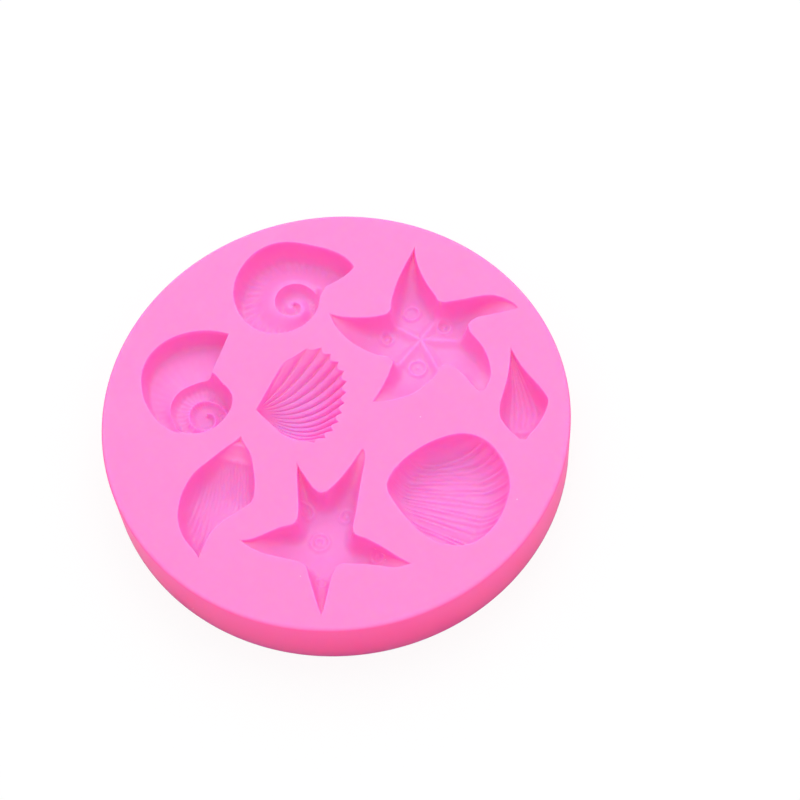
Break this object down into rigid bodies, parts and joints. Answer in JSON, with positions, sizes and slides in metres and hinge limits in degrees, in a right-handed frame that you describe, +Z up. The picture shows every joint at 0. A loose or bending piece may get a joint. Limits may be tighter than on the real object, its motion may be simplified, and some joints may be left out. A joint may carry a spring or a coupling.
{
  "type": "silicone craft mould",
  "caption": "Round pink silicone mould with a flat base, a softly rounded rim and sunk cavities shaped like seashells, snails and starfish, for casting small decorations.",
  "frame": {"origin": "centre of the flat base", "axes": "+Z up, out of the mouths of the cavities; in the pictured view +X points right and +Y points away from the viewer"},
  "size_m": [0.084, 0.084, 0.012],
  "materials": {
    "pink_silicone": "satin, slightly translucent"
  },
  "bodies": {
    "root": {"mould_body": "pink_silicone"}
  },
  "joints": []
}
